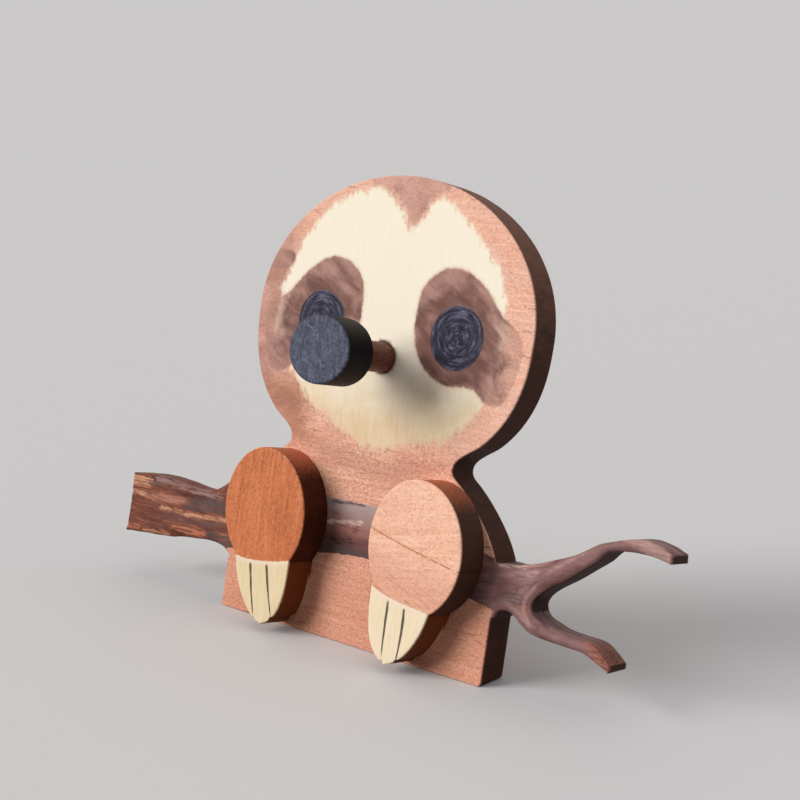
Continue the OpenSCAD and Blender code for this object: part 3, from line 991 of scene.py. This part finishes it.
def dress_node(node, material, edge_radius):
    """Gives a CAD node that keeps its shape a material and small sanded edges."""
    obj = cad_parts[node]
    obj.data.materials.clear()
    obj.data.materials.append(material)
    for face in obj.data.polygons:
        face.use_smooth = True
    weld = obj.modifiers.new("joined_faces", "WELD")
    weld.merge_threshold = 0.005 * MM
    bevel = obj.modifiers.new("sanded_edges", "BEVEL")
    bevel.width = edge_radius * MM
    bevel.segments = 3
    bevel.limit_method = "ANGLE"
    bevel.angle_limit = math.radians(35)
    bevel.harden_normals = True


# ---- camera ----

CAMERA_AT = Vector((0.2879, -0.3375 - BASE_HALF * MM, 0.1540))
CAMERA_RIGHT = Vector((0.7778, 0.6268, 0.0465)).normalized()
CAMERA_FORWARD = Vector((-0.6135, 0.7733, -0.1599)).normalized()
SENSOR_WIDTH, FOCAL_LENGTH = 36.0, 63.0


def add_camera():
    """The photograph's viewpoint, with its slight roll."""
    up = CAMERA_RIGHT.cross(CAMERA_FORWARD).normalized()
    right = CAMERA_FORWARD.cross(up)
    data = bpy.data.cameras.new("camera")
    data.sensor_width = SENSOR_WIDTH
    data.lens = FOCAL_LENGTH
    data.clip_start = 0.01
    camera = bpy.data.objects.new("camera", data)
    turn = Matrix((right, up, -CAMERA_FORWARD)).transposed()
    camera.matrix_world = Matrix.Translation(CAMERA_AT) @ turn.to_4x4()
    bpy.context.scene.collection.objects.link(camera)
    bpy.context.scene.camera = camera


# ---- floor and light ----

FLOOR_HALF = 60.0  # metres, so that its edge is at the horizon
FLOOR_SEEN = (0.68, 0.68, 0.69, 1)
FLOOR_BOUNCE = (0.30, 0.30, 0.31, 1)
WINDOW_FROM = Vector((-0.57, -0.72, 0.37))
WINDOW_STRENGTH = 3.0
WINDOW_WIDTH = math.radians(36)
WINDOW_COLOUR = (1.0, 0.985, 0.965)
ROOM_COLOUR = (1.0, 0.98, 0.96, 1)
ROOM_OVERHEAD = 0.75  # its strength straight overhead, from 0 at the side
BACKDROP = (0.596, 0.586, 0.582, 1)


def shown_to_the_eye(tree, lighting, seen, output):
    """Sends a surface out: seen for camera, mirrored and see-through rays, lighting for the rest."""
    nodes, links = tree.nodes, tree.links
    ray = nodes.new("ShaderNodeLightPath").outputs
    to_the_eye = ray["Is Camera Ray"]
    for kind in ("Is Glossy Ray", "Is Transmission Ray"):
        either = nodes.new("ShaderNodeMath")
        either.operation = "MAXIMUM"
        links.new(to_the_eye, either.inputs[0])
        links.new(ray[kind], either.inputs[1])
        to_the_eye = either.outputs[0]
    choose = nodes.new("ShaderNodeMixShader")
    links.new(to_the_eye, choose.inputs[0])
    links.new(lighting.outputs[0], choose.inputs[1])
    links.new(seen.outputs[0], choose.inputs[2])
    links.new(choose.outputs[0], nodes[output].inputs["Surface"])


def add_floor():
    """A plain pale floor that throws less light back at the stand than it shows."""
    mesh = bpy.data.meshes.new("floor")
    corners = [(-1, -1), (1, -1), (1, 1), (-1, 1)]
    mesh.from_pydata([(x * FLOOR_HALF, y * FLOOR_HALF, 0) for x, y in corners], [], [(0, 1, 2, 3)])
    floor = bpy.data.objects.new("floor", mesh)
    bpy.context.scene.collection.objects.link(floor)
    material = bpy.data.materials.new("pale_floor")
    material.use_nodes = True
    seen = material.node_tree.nodes["Principled BSDF"]
    seen.inputs["Base Color"].default_value = FLOOR_SEEN
    seen.inputs["Roughness"].default_value = 0.75
    bounce = material.node_tree.nodes.new("ShaderNodeBsdfDiffuse")
    bounce.inputs["Color"].default_value = FLOOR_BOUNCE
    shown_to_the_eye(material.node_tree, bounce, seen, "Material Output")
    mesh.materials.append(material)


def add_window():
    """A broad soft window from the left, in front and above."""
    data = bpy.data.lights.new("window", "SUN")
    data.energy = WINDOW_STRENGTH
    data.angle = WINDOW_WIDTH
    data.color = WINDOW_COLOUR
    window = bpy.data.objects.new("window", data)
    window.rotation_euler = WINDOW_FROM.to_track_quat("Z", "Y").to_euler()
    bpy.context.scene.collection.objects.link(window)


def add_room():
    """Soft light that is brighter overhead than at the height of the table, and a plain backdrop."""
    world = bpy.data.worlds.new("studio")
    world.use_nodes = True
    nodes, links = world.node_tree.nodes, world.node_tree.links
    ambient = nodes["Background"]
    ambient.inputs["Color"].default_value = ROOM_COLOUR
    direction = nodes.new("ShaderNodeTexCoord")
    upward = nodes.new("ShaderNodeSeparateXYZ")
    glow = nodes.new("ShaderNodeMapRange")
    glow.inputs["To Max"].default_value = ROOM_OVERHEAD
    links.new(direction.outputs["Generated"], upward.inputs[0])
    links.new(upward.outputs["Z"], glow.inputs["Value"])
    links.new(glow.outputs[0], ambient.inputs["Strength"])
    backdrop = nodes.new("ShaderNodeBackground")
    backdrop.inputs["Color"].default_value = BACKDROP
    backdrop.inputs["Strength"].default_value = 1.0
    shown_to_the_eye(world.node_tree, ambient, backdrop, "World Output")
    bpy.context.scene.world = world


# ---- the scene ----

board()
paw("left_paw_wood", "left_paw", 13,
    claw_top=[(-50, 24), (-42, 21.8), (-37, 21.3), (-30, 21.8), (-22, 23.2), (-14, 25.4)],
    lines=[((-34.2, 21), (-29.7, 3.5), 0.3), ((-26.5, 20.6), (-21.6, 4.5), 0.3)],
    tones=LEFT_TONES, claw_tones=LEFT_CLAWS, grain=90)
paw("right_paw_wood", "right_paw", 14,
    claw_top=[(12, 26), (19, 24), (24, 22.4), (31, 21.2), (42, 20.2), (52, 19.5)],
    lines=[((26.1, 20.6), (26.4, 3.4), 0.15), ((32.7, 19.4), (32.3, 4.5), -0.3)],
    tones=RIGHT_TONES, claw_tones=RIGHT_CLAWS, grain=-11, crack=((17, 41.6), (49.5, 35.2), 0.4))
nose()
dress_node("nose_dowel", dowel_finish(), 0.3)
dress_node("rear_strut", strut_finish(), 0.6)

add_camera()
add_floor()
add_window()
add_room()
bpy.context.scene.view_settings.view_transform = "Standard"
